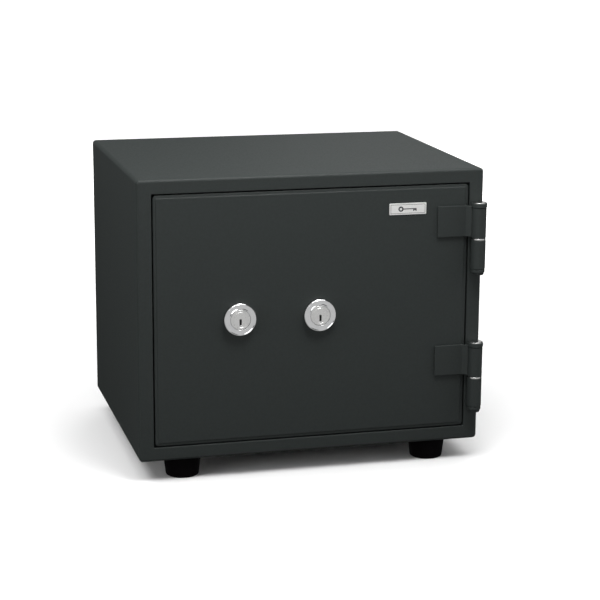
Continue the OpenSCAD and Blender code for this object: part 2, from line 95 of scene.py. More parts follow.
# The door's opening, the throat behind its step, and the cavity
frame_high = highest("door_frame")
OPEN_W, OPEN_H = frame_high.x - SHEET, frame_high.z - SHEET - MID_Z
MOUTH_Y, STEP_Y = frame_high.y, 24.0
liner_high = highest("inner_liner")
THROAT_W, THROAT_H = liner_high.x - SHEET, liner_high.z - SHEET - MID_Z
CAVITY_W, CAVITY_H = highest("shelf_rails").x, 121.5
LINER_BACK, LINER_T = liner_high.y, 1.0

# The door's panel, and the pan behind it that fills the throat
skin_high = highest("door_skin")
DOOR_W, DOOR_H, SLAB_Y = skin_high.x, skin_high.z - MID_Z, skin_high.y
PAN_T = 1.2
carrier_high = highest("lock_carrier_plate")
PLUG_W, PLUG_H = carrier_high.x + PAN_T, carrier_high.z + PAN_T - MID_Z
COVER_Y = highest("door_inner_pan").y
FLANGE_Y = SLAB_Y + PAN_T

# Hinges
HINGE_Z = [middle(f"{name}_hinge_washer", Z) for name in ("upper", "lower")]
HINGE_X = middle("upper_hinge_washer", X)
HINGE_Y = middle("upper_hinge_washer", Y)
BARREL_R = highest("upper_frame_knuckle").x - HINGE_X
CAP_R, CAP_H = highest("upper_hinge_leaf").x - HINGE_X, 5
PIN_R, PIN_PLAY = 4.5, 0.1
LEAF_T, LEAF_H = 2.2, 36.8
# The middle of the leaf's sheet, on the door and past its joggle
LEAF_Y, RAISED_Y = -2.1, -6.4
WEB_HALF = 4.5
# Thinner than the CAD's washer, so that its faces stay clear of the knuckles
WASHER_HALF = 0.96

# Locks
LOCK_X = [middle(f"{side}_lock_housing", X) for side in ("left", "right")]
rose_low, rose_high = measured("left_lock_housing")
ROSE_R, ROSE_H = (rose_high.x - rose_low.x) / 2, -rose_low.y
ROSE_BORE, RING_W, DISH_DEPTH, DISH_STEPS = 7.5, 7.25, 0.48, 8
KEYWAY_HALF = 1.1

# Bolts on the left, dogs on the hinge side, and the holes they enter
BOLT_Y, BOLT_R, DOG_R = 41.5, 7, 9
BOLT_Z = [middle(f"{name}_bolt", Z) for name in ("upper", "lower")]
DOG_Z = [95, 235]
SOCKET_HALF = 9

# ---------------------------------------------------------------- materials


class Nodes:
    """A shader's node tree, built one node at a time."""

    def __init__(self, tree):
        self.tree = tree
        self.tree.nodes.clear()

    def add(self, kind, **settings):
        node = self.tree.nodes.new(kind)
        for key, value in settings.items():
            setattr(node, key, value)
        return node

    def link(self, source, target):
        self.tree.links.new(source, target)

    def ranged(self, value, low, high, source_low=0.3, source_high=0.7):
        """A value that runs from low to high while the given one crosses its source range."""
        node = self.add("ShaderNodeMapRange")
        self.link(value, node.inputs["Value"])
        node.inputs["From Min"].default_value = source_low
        node.inputs["From Max"].default_value = source_high
        node.inputs["To Min"].default_value = low
        node.inputs["To Max"].default_value = high
        return node.outputs["Result"]

    def times(self, first, second):
        node = self.add("ShaderNodeMath", operation="MULTIPLY")
        self.link(first, node.inputs[0])
        self.link(second, node.inputs[1])
        return node.outputs[0]

    def mixed(self, share, first, second):
        """The first shader where share is 0, and the second where it is 1."""
        node = self.add("ShaderNodeMixShader")
        for source, target in zip((share, first, second), node.inputs):
            self.link(source, target)
        return node.outputs[0]


class Surface(Nodes):
    """A procedural material on one Principled shader, textured in the row frame at rest."""

    def __init__(self, name, color, rough, metallic=0.0, specular=0.5):
        self.material = bpy.data.materials.new(name)
        self.material.use_nodes = True
        super().__init__(self.material.node_tree)
        self.shader = self.add("ShaderNodeBsdfPrincipled")
        self.output = self.add("ShaderNodeOutputMaterial")
        self.link(self.shader.outputs["BSDF"], self.output.inputs["Surface"])
        self.coords = self.add("ShaderNodeTexCoord").outputs["Object"]
        self.color, self.rough = color, rough
        self.shader.inputs["Base Color"].default_value = (*color, 1)
        self.shader.inputs["Roughness"].default_value = rough
        self.shader.inputs["Metallic"].default_value = metallic
        self.shader.inputs["Specular IOR Level"].default_value = specular
        self.normal = None

    def stretched(self, scale):
        """The coordinates scaled by a different amount along each axis."""
        node = self.add("ShaderNodeMapping")
        self.link(self.coords, node.inputs["Vector"])
        node.inputs["Scale"].default_value = scale
        return node.outputs["Vector"]

    def noise(self, scale, detail=3.0, roughness=0.55, stretch=None):
        """A noise value with about scale features to the metre."""
        node = self.add("ShaderNodeTexNoise")
        vector = self.stretched(stretch) if stretch else self.coords
        self.link(vector, node.inputs["Vector"])
        node.inputs["Scale"].default_value = scale
        node.inputs["Detail"].default_value = detail
        node.inputs["Roughness"].default_value = roughness
        return node.outputs["Fac"]

    def tint(self, value, low_color, high_color, low=0.3, high=0.7):
        """The base colour runs from one colour to another along a value."""
        ramp = self.add("ShaderNodeValToRGB")
        ramp.color_ramp.elements[0].position, ramp.color_ramp.elements[1].position = low, high
        ramp.color_ramp.elements[0].color = (*low_color, 1)
        ramp.color_ramp.elements[1].color = (*high_color, 1)
        self.link(value, ramp.inputs["Fac"])
        self.link(ramp.outputs["Color"], self.shader.inputs["Base Color"])
        return self

    def mottle(self, scale, amount, **kind):
        """The base colour varies by this share either way."""
        low = [c * (1 - amount) for c in self.color]
        high = [c * (1 + amount) for c in self.color]
        return self.tint(self.noise(scale, **kind), low, high)

    def rough_noise(self, scale, amount, **kind):
        value = self.ranged(self.noise(scale, **kind), self.rough - amount, self.rough + amount)
        self.link(value, self.shader.inputs["Roughness"])
        return self

    def bump(self, value, distance, strength=1.0):
        """Adds a bump of this depth, in metres, on top of those before it."""
        node = self.add("ShaderNodeBump")
        self.link(value, node.inputs["Height"])
        node.inputs["Distance"].default_value = distance
        node.inputs["Strength"].default_value = strength
        if self.normal is not None:
            self.link(self.normal, node.inputs["Normal"])
        self.normal = node.outputs["Normal"]
        self.link(self.normal, self.shader.inputs["Normal"])
        return self

    def bump_noise(self, scale, distance, strength=1.0, **kind):
        return self.bump(self.noise(scale, **kind), distance, strength)

    def turned(self, centre, pitch, distance):
        """Fine lathe marks: rings about an axis along y through centre, in the row frame."""
        shift = self.add("ShaderNodeVectorMath", operation="SUBTRACT")
        self.link(self.coords, shift.inputs[0])
        shift.inputs[1].default_value = centre
        flat = self.add("ShaderNodeVectorMath", operation="MULTIPLY")
        self.link(shift.outputs[0], flat.inputs[0])
        flat.inputs[1].default_value = (1, 0, 1)
        length = self.add("ShaderNodeVectorMath", operation="LENGTH")
        self.link(flat.outputs[0], length.inputs[0])
        wave = self.add("ShaderNodeMath", operation="SINE")
        times = self.add("ShaderNodeMath", operation="MULTIPLY")
        self.link(length.outputs["Value"], times.inputs[0])
        times.inputs[1].default_value = 2 * math.pi / pitch
        self.link(times.outputs[0], wave.inputs[0])
        return self.bump(wave.outputs[0], distance)


def powder_coat(name, color, rough=0.5, specular=0.4):
    """Powder coating: faint mottling under a fine orange peel."""
    coat = Surface(name, color, rough, specular=specular)
    coat.mottle(420, 0.07, detail=4)
    coat.rough_noise(520, 0.04, detail=3)
    coat.bump_noise(620, 0.00006, 0.5, detail=2)
    coat.bump_noise(2300, 0.00002, 0.5, detail=1)
    return coat


PAINT = powder_coat("dark_green_grey_powder_coat", (0.0276, 0.0324, 0.0313), 0.56, 0.24).material
LINER = powder_coat("warm_grey_enamel", (0.47, 0.46, 0.415), 0.42, 0.5).material

filling = Surface("cast_fireproof_filling", (0.60, 0.565, 0.49), 0.95, specular=0.2)
filling.mottle(60, 0.12, detail=8).bump_noise(180, 0.0008, detail=8)

zinc = Surface("zinc_plating", (0.50, 0.515, 0.53), 0.34, metallic=1.0)
zinc.tint(zinc.noise(70, detail=6), (0.42, 0.44, 0.47), (0.58, 0.585, 0.57))
zinc.rough_noise(260, 0.08, detail=5).bump_noise(900, 0.00002, detail=2)

bright = Surface("polished_steel", (0.63, 0.63, 0.62), 0.16, metallic=1.0)
bright.mottle(90, 0.05, detail=5).rough_noise(420, 0.05, detail=4, stretch=(1, 1, 6))
bright.bump_noise(1500, 0.000006, stretch=(0.2, 1, 6))

chrome = Surface("polished_chrome", (0.74, 0.745, 0.75), 0.07, metallic=1.0)
chrome.rough_noise(150, 0.025, detail=5).mottle(220, 0.03, detail=3)

rubber = Surface("black_rubber", (0.0030, 0.0024, 0.0030), 0.80, specular=0.05)
rubber.mottle(300, 0.3, detail=5).rough_noise(120, 0.08, detail=4)
rubber.bump_noise(1400, 0.00006, detail=3)

seal = Surface("grey_expanding_seal", (0.045, 0.045, 0.047), 0.85, specular=0.25)
seal.mottle(900, 0.35, detail=4).bump_noise(1600, 0.00018, detail=3)

label = Surface("label_enamel", (0.80, 0.80, 0.785), 0.30, metallic=0.1)
label.mottle(350, 0.03, detail=3).rough_noise(900, 0.04, stretch=(0.1, 1, 3))

ink = Surface("label_ink", (0.016, 0.018, 0.022), 0.45)
ink.mottle(700, 0.2, detail=3).rough_noise(700, 0.05)

plastic = Surface("black_moulded_plastic", (0.014, 0.0145, 0.015), 0.5, specular=0.4)
plastic.mottle(200, 0.15).rough_noise(250, 0.05).bump_noise(1800, 0.00003)

ZINC, BRIGHT, CHROME, RUBBER = (m.material for m in (zinc, bright, chrome, rubber))
SEAL, LABEL, INK, PLASTIC, FILLING = (m.material for m in (seal, label, ink, plastic, filling))


def satin_nickel(name, lock_x):
    """The lock plug's face, with lathe marks about its own axis."""
    nickel = Surface(name, (0.72, 0.72, 0.71), 0.30, metallic=1.0)
    nickel.mottle(400, 0.04, detail=3).rough_noise(300, 0.05, detail=4)
    nickel.turned(place(lock_x, 0, MID_Z), 0.00031, 0.0000022)
    return nickel.material


NICKEL = [satin_nickel(f"satin_nickel_{side}", x) for side, x in zip(("left", "right"), LOCK_X)]

# ---------------------------------------------------------------- mesh helpers


def finish_object(obj, body, material, nodes=(), sharp=32, bevel=0.0):
    """Shading, material, body and the CAD nodes the piece stands for."""
    obj.data.materials.clear()
    obj.data.materials.append(material)
    obj.data.shade_smooth()
    obj.data.set_sharp_from_angle(angle=math.radians(sharp))
    if bevel:
        edge = obj.modifiers.new("edge", "BEVEL")
        edge.width, edge.segments = bevel * MM, 3
        edge.limit_method, edge.angle_limit = "ANGLE", math.radians(sharp)
        edge.harden_normals = True
    normals = obj.modifiers.new("normals", "WEIGHTED_NORMAL")
    normals.keep_sharp = True
    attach(obj, body)
    if nodes:
        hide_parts(*nodes)
    return obj


def make(name, parts):
    """One mesh object from several (vertices, faces) parts in the cabinet's frame."""
    mesh = bmesh.new()
    for vertices, faces in parts:
        made = [mesh.verts.new(place(*v)) for v in vertices]
        for face in faces:
            corners = [made[i] for i in face]
            if len(set(corners)) > 2:
                mesh.faces.new(corners)
    bmesh.ops.remove_doubles(mesh, verts=mesh.verts, dist=1e-6)
    bmesh.ops.dissolve_degenerate(mesh, edges=mesh.edges, dist=1e-6)
    bmesh.ops.recalc_face_normals(mesh, faces=mesh.faces)
    data = bpy.data.meshes.new(name)
    mesh.to_mesh(data)
    mesh.free()
    obj = bpy.data.objects.new(name, data)
    bpy.context.scene.collection.objects.link(obj)
    return obj


def cut(obj, *cutters):
    """Cuts the shapes of other objects out of obj, and removes them."""
    for cutter in cutters:
        modifier = obj.modifiers.new("cut", "BOOLEAN")
        modifier.operation, modifier.solver, modifier.object = "DIFFERENCE", "EXACT", cutter
    bpy.context.view_layer.update()
    shape = obj.evaluated_get(bpy.context.evaluated_depsgraph_get())
    data = bpy.data.meshes.new_from_object(shape)
    obj.modifiers.clear()
    obj.data = data
    for cutter in cutters:
        bpy.data.objects.remove(cutter)
    return obj


def rounded(half_w, half_h, radius, y, steps=6):
    """A ring in the plane y: a rectangle about the cabinet's middle, with rounded corners."""
    points = []
    centres = ((1, -1, -90), (1, 1, 0), (-1, 1, 90), (-1, -1, 180))
    for side, up, start in centres:
        for i in range(steps + 1):
            angle = math.radians(start + 90 * i / steps)
            x = side * (half_w - radius) + radius * math.cos(angle)
            z = up * (half_h - radius) + radius * math.sin(angle)
            points.append((x, y, MID_Z + z))
    return points


def loft(rings, closed=False, cap_first=False, cap_last=False):
    """Faces between rings of equally many points. closed joins the last ring to the first."""
    count = len(rings[0])
    vertices = [point for ring in rings for point in ring]
    faces = []
    for k in range(len(rings) if closed else len(rings) - 1):
        here, there = k * count, (k + 1) % len(rings) * count
        for i in range(count):
            j = (i + 1) % count
            faces.append((here + i, here + j, there + j, there + i))
    if cap_first:
        faces.append(tuple(range(count)))
    if cap_last:
        faces.append(tuple(range(len(vertices) - count, len(vertices))))
    return vertices, faces


def arc(centre, radius, start, end, steps=5):
    """Points of an arc in a plane, from one angle to another, in degrees."""
    angles = [math.radians(start + (end - start) * i / steps) for i in range(steps + 1)]
    return [(centre[0] + radius * math.cos(a), centre[1] + radius * math.sin(a)) for a in angles]


def fillet(points, radius, steps=4, closed=True):
    """A polygon or path with its corners rounded. A point's third number is its own radius."""
    count = len(points)
    result = []
    for i, point in enumerate(points):
        size = point[2] if len(point) > 2 else radius
        here = Vector(point[:2])
        if not closed and i in (0, count - 1) or size <= 0:
            result.append(tuple(here))
            continue
        before = Vector(points[i - 1][:2]) - here
        after = Vector(points[(i + 1) % count][:2]) - here
        angle = before.angle(after)
        if angle > math.radians(178):
            result.append(tuple(here))
            continue
        reach = min(size / math.tan(angle / 2), before.length * 0.49, after.length * 0.49)
        size = reach * math.tan(angle / 2)
        middle = here + (before.normalized() + after.normalized()).normalized() * (
            size / math.sin(angle / 2))
        first = here + before.normalized() * reach - middle
        last = here + after.normalized() * reach - middle
        for k in range(steps + 1):
            share = k / steps
            turn = first.angle(last)
            a = math.sin((1 - share) * turn) / math.sin(turn)
            b = math.sin(share * turn) / math.sin(turn)
            result.append(tuple(middle + first * a + last * b))
    return result


def lathe(profile, axis, segments=96, closed=True):
    """Turns (radius, height) points about an axis. axis maps (u, v, height) to the cabinet's frame."""
    vertices, faces = [], []
    for radius, height in profile:
        for i in range(segments):
            angle = 2 * math.pi * i / segments
            vertices.append(axis(radius * math.cos(angle), radius * math.sin(angle), height))
    for k in range(len(profile) if closed else len(profile) - 1):
        here, there = k * segments, (k + 1) % len(profile) * segments
        if profile[k][0] == 0 and profile[(k + 1) % len(profile)][0] == 0:
            continue
        for i in range(segments):
            j = (i + 1) % segments
            faces.append((here + i, here + j, there + j, there + i))
    return vertices, faces


def upright(x, y, z=0.0):
    """An axis along z through (x, y), with heights counted from z."""
    return lambda u, v, height: (x + u, y + v, z + height)


def inward(x, z, y=0.0):
    """An axis along y through (x, z), with heights counted from y."""
    return lambda u, v, height: (x + u, y + height, z + v)


def sideways(y, z, x=0.0):
    """An axis along x through (y, z), with heights counted from x."""
    return lambda u, v, height: (x + height, y + u, z + v)


def prism(outline, low, high, to_space):
    """A closed outline pushed from one height to another."""
    rings = [[to_space(u, v, height) for u, v in outline] for height in (low, high)]
    return loft(rings, cap_first=True, cap_last=True)


def bent_strip(path, thickness, bend, steps=5):
    """The outline of a bent strip of sheet that follows a path down its middle."""
    middle = [Vector(p) for p in fillet(path, bend, steps, closed=False)]
    left, right = [], []
    for i, point in enumerate(middle):
        before = (point - middle[i - 1]).normalized() if i else None
        after = (middle[i + 1] - point).normalized() if i + 1 < len(middle) else None
        along = ((before or after) + (after or before)).normalized()
        across = Vector((-along.y, along.x))
        onward = after or before
        stretch = thickness / 2 / max(0.5, across.dot(Vector((-onward.y, onward.x))))
        left.append(tuple(point + across * stretch))
        right.append(tuple(point - across * stretch))
    return left + right[::-1]


def block(low, high):
    """A plain box, for cutting."""
    outline = [(low[0], low[1]), (high[0], low[1]), (high[0], high[1]), (low[0], high[1])]
    return prism(outline, low[2], high[2], upright(0, 0))


# ---------------------------------------------------------------- cabinet


def case_shell():
    """The folded outer case: the border round the door, the four sides and the rear hem."""
    inner_w, inner_h = HALF_W - SHEET, HALF_H - SHEET
    hem = 14.0
    rings = [rounded(OPEN_W, OPEN_H, 1.0, SHEET)]
    for a, b in arc((0.7, 0.7), 0.7, 180, 270, 3):
        rings.append(rounded(OPEN_W + a, OPEN_H + a, 1.0 + a, b))
    for a, b in arc((-EDGE_R, EDGE_R), EDGE_R, -90, 0, 7):
        rings.append(rounded(HALF_W + a, HALF_H + a, CORNER_R + a, b))
    for a, b in arc((-EDGE_R, DEPTH - EDGE_R), EDGE_R, 0, 90, 7):
        rings.append(rounded(HALF_W + a, HALF_H + a, CORNER_R + a, b))
    for a, b in arc((0.5, DEPTH - 0.5), 0.5, 90, 180, 2):
        rings.append(rounded(HALF_W - hem + a, HALF_H - hem + a, 1.0 + a, b))
    rings.append(rounded(HALF_W - hem, HALF_H - hem, 1.0, DEPTH - SHEET))
    rings.append(rounded(inner_w, inner_h, 2.8, DEPTH - SHEET))
    rings.append(rounded(inner_w, inner_h, 2.8, SHEET))
    shell = make("case_shell", [loft(rings, closed=True)])
    finish_object(shell, "cabinet", PAINT, ["outer_case"])


def jamb():
    """The pressed door frame: jamb, step and throat, with holes for the bolts and dogs."""
    out_w, out_h = OPEN_W + SHEET, OPEN_H + SHEET
    rings = [rounded(OPEN_W, OPEN_H, 1.0, SHEET)]
    for a, b in arc((-BEND_R, STEP_Y - BEND_R), BEND_R, 0, 90, 4):
        rings.append(rounded(OPEN_W + a, OPEN_H + a, 1.0, b))
    for a, b in arc((BEND_R, STEP_Y + BEND_R), BEND_R, 270, 180, 4):
        rings.append(rounded(THROAT_W + a, THROAT_H + a, 1.0, b))
    rings.append(rounded(THROAT_W, THROAT_H, 1.0, MOUTH_Y))
    rings.append(rounded(THROAT_W + SHEET, THROAT_H + SHEET, 2.0, MOUTH_Y))
    rings.append(rounded(THROAT_W + SHEET, THROAT_H + SHEET, 2.0, STEP_Y + SHEET))
    rings.append(rounded(out_w, out_h, 2.0, STEP_Y + SHEET))
    rings.append(rounded(out_w, out_h, 2.0, SHEET))
    frame_piece = make("door_jamb", [loft(rings, closed=True)])
    cutters = []
    for side, half_deep, y, rows in ((-1, SOCKET_HALF, BOLT_Y, BOLT_Z), (1, 10, 40, DOG_Z)):
        x_low, x_high = sorted((side * (THROAT_W - 3), side * (THROAT_W + 4)))
        for z in rows:
            cutters.append(make("cutter", [block((x_low, y - half_deep, z - SOCKET_HALF),
                                                 (x_high, y + half_deep, z + SOCKET_HALF))]))
    cut(frame_piece, *cutters)
    finish_object(frame_piece, "cabinet", PAINT, ["door_frame"], bevel=0.25)


def back_panel():
    """The back: a plate inside the rear hem, pressed out in the middle, with rivets and a filler cap."""
    low, high = measured("back_panel")
    face = high.y
    rings = [rounded(high.x, high.z - MID_Z, 1.9, low.y), rounded(high.x, high.z - MID_Z, 1.9, face)]
    pressed = 1.3
    for share in (0.0, 0.15, 0.5, 0.85, 1.0):
        inset, rise = 34 + 7 * share, pressed * (3 * share ** 2 - 2 * share ** 3)
        rings.append(rounded(HALF_W - inset, HALF_H - inset, 16 - 5 * share, face + rise))
    panel = make("rear_panel", [loft(rings, cap_first=True, cap_last=True)])
    finish_object(panel, "cabinet", PAINT, ["back_panel"], sharp=40)

    places = [(x, z) for x in (-180, -60, 60, 180) for z in (26, HEIGHT - 26)]
    places += [(-180, MID_Z), (180, MID_Z)]
    heads = [button(inward(x, z, face), 4.2, 1.25) for x, z in places]
    finish_object(make("rear_rivets", heads), "cabinet", PAINT)

    raised = face + pressed
    rim = fillet([(0, raised - 1), (19, raised - 1), (19, raised + 1.0, 0.5), (17.2, raised + 1.5, 0.4),
                  (15.8, raised + 0.9, 0.4), (0, raised + 0.9)], 0, closed=False)
    cap = make("filler_cap", [lathe(rim, inward(0, HEIGHT - 78), closed=False)])
    finish_object(cap, "cabinet", PLASTIC)


def button(axis, radius, height, segments=32):
    """A low domed rivet head that stands on height 0."""
    profile = [(0, -0.4), (radius, -0.4), (radius, 0.15)]
    profile += [(radius * math.cos(a), 0.15 + (height - 0.15) * math.sin(a))
                for a in (math.radians(15 * i) for i in range(1, 6))]
    return lathe(profile + [(0, height)], axis, segments, closed=False)


def underside():
    """Plugs in the two anchor holes of the bottom, which no view in use shows."""
    plugs = []
    outline = [(0, 1), (9, 1), (9, -1.2, 0.8), (7.4, -1.6, 0.4), (6.6, -0.9, 0.3), (0, -0.9)]
    profile = fillet(outline, 0, closed=False)
    for x in (-90, 90):
        plugs.append(lathe(profile, upright(x, DEPTH / 2), 48, closed=False))
    finish_object(make("anchor_plugs", plugs), "cabinet", PLASTIC)


def feet():
    """Moulded rubber feet with a rounded edge, a parting line and a screw well."""
    for end in ("front", "rear"):
        for side in ("left", "right"):
            low, high = measured(f"foot_{end}_{side}")
            x, y, tall = (low.x + high.x) / 2, (low.y + high.y) / 2, -low.z
            profile = fillet([
                (3.3, 0), (22.5, 0, 0.5), (22.25, -2.2, 0.3), (21.85, -2.6, 0.2), (21.9, -3.0, 0.3),
                (19.3, -tall, 2.6), (16.5, -tall, 0.4), (16.0, -tall + 0.7, 0.3), (13.0, -tall + 0.7, 0.3),
                (12.5, -tall, 0.4), (10.4, -tall, 0.5), (9.9, -tall + 13, 0.8), (3.3, -tall + 13, 0.3)], 0)
            foot = make(f"rubber_foot_{end}_{side}", [lathe(profile, upright(x, y))])
            finish_object(foot, "cabinet", RUBBER, [f"foot_{end}_{side}"])


def liner():
    """The cavity: a drawn sheet box with rounded corners, spot-welded to the mouth flange."""
    back = LINER_BACK - LINER_T
    rings = [rounded(THROAT_W + SHEET, THROAT_H + SHEET, 2.0, MOUTH_Y)]
    for a, b in arc((BEND_R, MOUTH_Y + BEND_R), BEND_R, 270, 180, 4):
        rings.append(rounded(CAVITY_W + a, CAVITY_H + a, 5.0 + a, b))
    for a, b in arc((-5, back - 5), 5, 0, 90, 6):
        rings.append(rounded(CAVITY_W + a, CAVITY_H + a, 5.4 + a, b))
    inside = loft(rings, cap_last=True)
    outer = [rounded(CAVITY_W + LINER_T, CAVITY_H + LINER_T, 6, y) for y in (LINER_BACK, MOUTH_Y + LINER_T)]
    outer.append(rounded(THROAT_W + SHEET, THROAT_H + SHEET, 2.0, MOUTH_Y + LINER_T))
    faces_out = loft(outer, cap_first=True)
    bridge = loft([outer[-1], rings[0]])
    box = make("cavity_liner", [inside, faces_out, bridge])
    finish_object(box, "cabinet", LINER, ["inner_liner"], sharp=40)

    profile = [(0, 0.2), (2.6, 0.2), (3.1, -0.12), (2.2, -0.32), (1.4, -0.12), (0, -0.08)]
    dimples = []
    for z in (MID_Z - 90, MID_Z - 45, MID_Z + 45, MID_Z + 90):
        for x in (-CAVITY_W + 18, CAVITY_W - 18):
            dimples.append(lathe(profile, inward(x, z, back), 32, closed=False))
    finish_object(make("liner_spot_welds", dimples), "cabinet", LINER)


def shelf():
    """The fixed shelf: one folded sheet with a front lip between the rails and a low back stop."""
    low, high = measured("shelf")
    width, lip_w, fold_h = high.x, 149.0, 12.0
    level = high.z - fold_h + 0.5
    back = high.y - 0.5
    plate = bent_strip([(back, level + fold_h - 0.5), (back, level), (low.y + 6, level)], 1, 1.5)
    lip = bent_strip([(low.y + 6, level), (low.y + 0.5, level), (low.y + 0.5, level - fold_h),
                      (low.y + 9, level - fold_h)], 1, 1.5)
    across = sideways(0, 0)
    folded = make("folded_shelf", [prism(plate, -width, width, across), prism(lip, -lip_w, lip_w, across)])
    finish_object(folded, "cabinet", LINER, ["shelf"], bevel=0.2)


# ---------------------------------------------------------------- door


def door_front():
    """The door's folded front panel, with a narrow rim set back a little from its face.

    It has no lock holes: the locks pass through it, and the roses hide where they do.
    """
    rings = []
    edge = fillet([(-8, 0), (-3.9, 0, 0.7), (-3.2, 0.75, 0.5), (0, 0.95, 0.9), (0, 3)], 0, closed=False)
    for a, b in edge:
        rings.append(rounded(DOOR_W + a, DOOR_H + a, max(0.4, CORNER_R + a), b))
    for a, b in arc((-0.8, SLAB_Y - 0.8), 0.8, 0, 90, 3):
        rings.append(rounded(DOOR_W + a, DOOR_H + a, CORNER_R + a, b))
    rings.append(rounded(DOOR_W - 2, DOOR_H - 2, 2.4, SLAB_Y))
    rings.append(rounded(DOOR_W - 2, DOOR_H - 2, 2.4, 2))
    panel = make("door_front_panel", [loft(rings, cap_first=True, cap_last=True)])
    finish_object(panel, "door", PAINT, ["door_skin"])


def door_pan():
    """The pan on the door's back, with holes for the bolts on its left."""
    high = highest("door_inner_pan")
    pan_w, pan_h = high.x, high.z - MID_Z
    rings = [rounded(pan_w, pan_h, 3, SLAB_Y), rounded(pan_w, pan_h, 3, FLANGE_Y)]
    for a, b in arc((BEND_R, FLANGE_Y + BEND_R), BEND_R, 270, 180, 4):
        rings.append(rounded(PLUG_W + a, PLUG_H + a, 5 + a, b))
    for a, b in arc((-2 * PAN_T, COVER_Y - 2 * PAN_T), 2 * PAN_T, 0, 90, 5):
        rings.append(rounded(PLUG_W + a, PLUG_H + a, 5 + a, b))
    rings.append(rounded(PLUG_W - 16, PLUG_H - 16, 5, COVER_Y))
    rings.append(rounded(PLUG_W - 16, PLUG_H - 16, 5, COVER_Y - PAN_T))
    rings.append(rounded(PLUG_W - PAN_T, PLUG_H - PAN_T, 3.8, COVER_Y - PAN_T))
    rings.append(rounded(PLUG_W - PAN_T, PLUG_H - PAN_T, 3.8, SLAB_Y))
    pan = make("door_inner_shell", [loft(rings, closed=True)])
    hole = [(0, -4), (BOLT_R + 0.3, -4), (BOLT_R + 0.3, 4), (0, 4)]
    cut(pan, *[make("cutter", [lathe(hole, sideways(BOLT_Y, z, -PLUG_W), 64, closed=False)]) for z in BOLT_Z])
    finish_object(pan, "door", LINER, ["door_inner_pan"])


def door_cover():
    """The cover of the boltwork, with a pressed rib all round."""
    high = highest("boltwork_cover")
    wide, tall = high.x, high.z - MID_Z
    rings = [rounded(wide, tall, 3, COVER_Y), rounded(wide, tall, 3, COVER_Y + 0.9),
             rounded(wide - 0.3, tall - 0.3, 2.7, COVER_Y + 1.2)]
    for inset, rise in ((20, 0), (21, 0.15), (23, 0.9), (25, 1.35), (26.5, 1.5),
                        (34, 1.5), (35.5, 1.35), (37.5, 0.75), (39.5, 0.12), (40.5, 0)):
        rings.append(rounded(wide - inset, tall - inset, 8, COVER_Y + PAN_T + rise))
    cover = make("boltwork_cover_pressed", [loft(rings, cap_first=True, cap_last=True)])
    finish_object(cover, "door", LINER, ["boltwork_cover"])


def door_seal():
    """The seal round the pan, with a shallow groove along its middle."""
    high = highest("door_seal")
    half_w, half_h, wide = high.x, high.z - MID_Z, 8.0
    rings = [rounded(half_w, half_h, 3, FLANGE_Y)]
    for a, b in arc((-1.2, high.y - 1.2), 1.2, 0, 90, 3):
        rings.append(rounded(half_w + a, half_h + a, 3, b))
    rings.append(rounded(half_w - wide / 2, half_h - wide / 2, 3, high.y - 0.35))
    for a, b in arc((1.2, high.y - 1.2), 1.2, 90, 180, 3):
        rings.append(rounded(half_w - wide + a, half_h - wide + a, 3, b))
    rings.append(rounded(half_w - wide, half_h - wide, 3, FLANGE_Y))
    strip = make("expanding_door_seal", [loft(rings, closed=True)])
    finish_object(strip, "door", SEAL, ["door_seal"])


def bolts():
    """The two round bolts and the fixed dogs on the hinge side."""
    for name in ("upper_bolt", "lower_bolt"):
        low, high = measured(name)
        profile = fillet([(0, low.x), (BOLT_R - 1.6, low.x, 0.3), (BOLT_R, low.x + 1.6, 0.5),
                          (BOLT_R, high.x, 0.4), (0, high.x)], 0, closed=False)
        piece = make(f"{name}_turned", [lathe(profile, sideways(BOLT_Y, middle(name, Z)), closed=False)])
        finish_object(piece, f"{name}_slide", BRIGHT, [name])
    low, high = measured("dog_bolts")
    washer, shank, groove = low.x + 2.9, DOG_R - 3, PLUG_W + 0.6
    profile = fillet([(0, low.x), (DOG_R, low.x, 0.3), (DOG_R, washer, 0.3), (shank, washer),
                      (shank, groove, 0.2), (shank - 0.4, groove + 0.3, 0.2),
                      (shank - 0.4, groove + 1.0, 0.2), (shank, groove + 1.3, 0.2),
                      (shank, high.x - 1.7, 0.4), (shank - 1.7, high.x, 0.4), (0, high.x)], 0, closed=False)
    parts = [lathe(profile, sideways(BOLT_Y, z), 64, closed=False) for z in (low.z + DOG_R, high.z - DOG_R)]
    finish_object(make("hinge_side_dogs", parts), "door", BRIGHT, ["dog_bolts"])


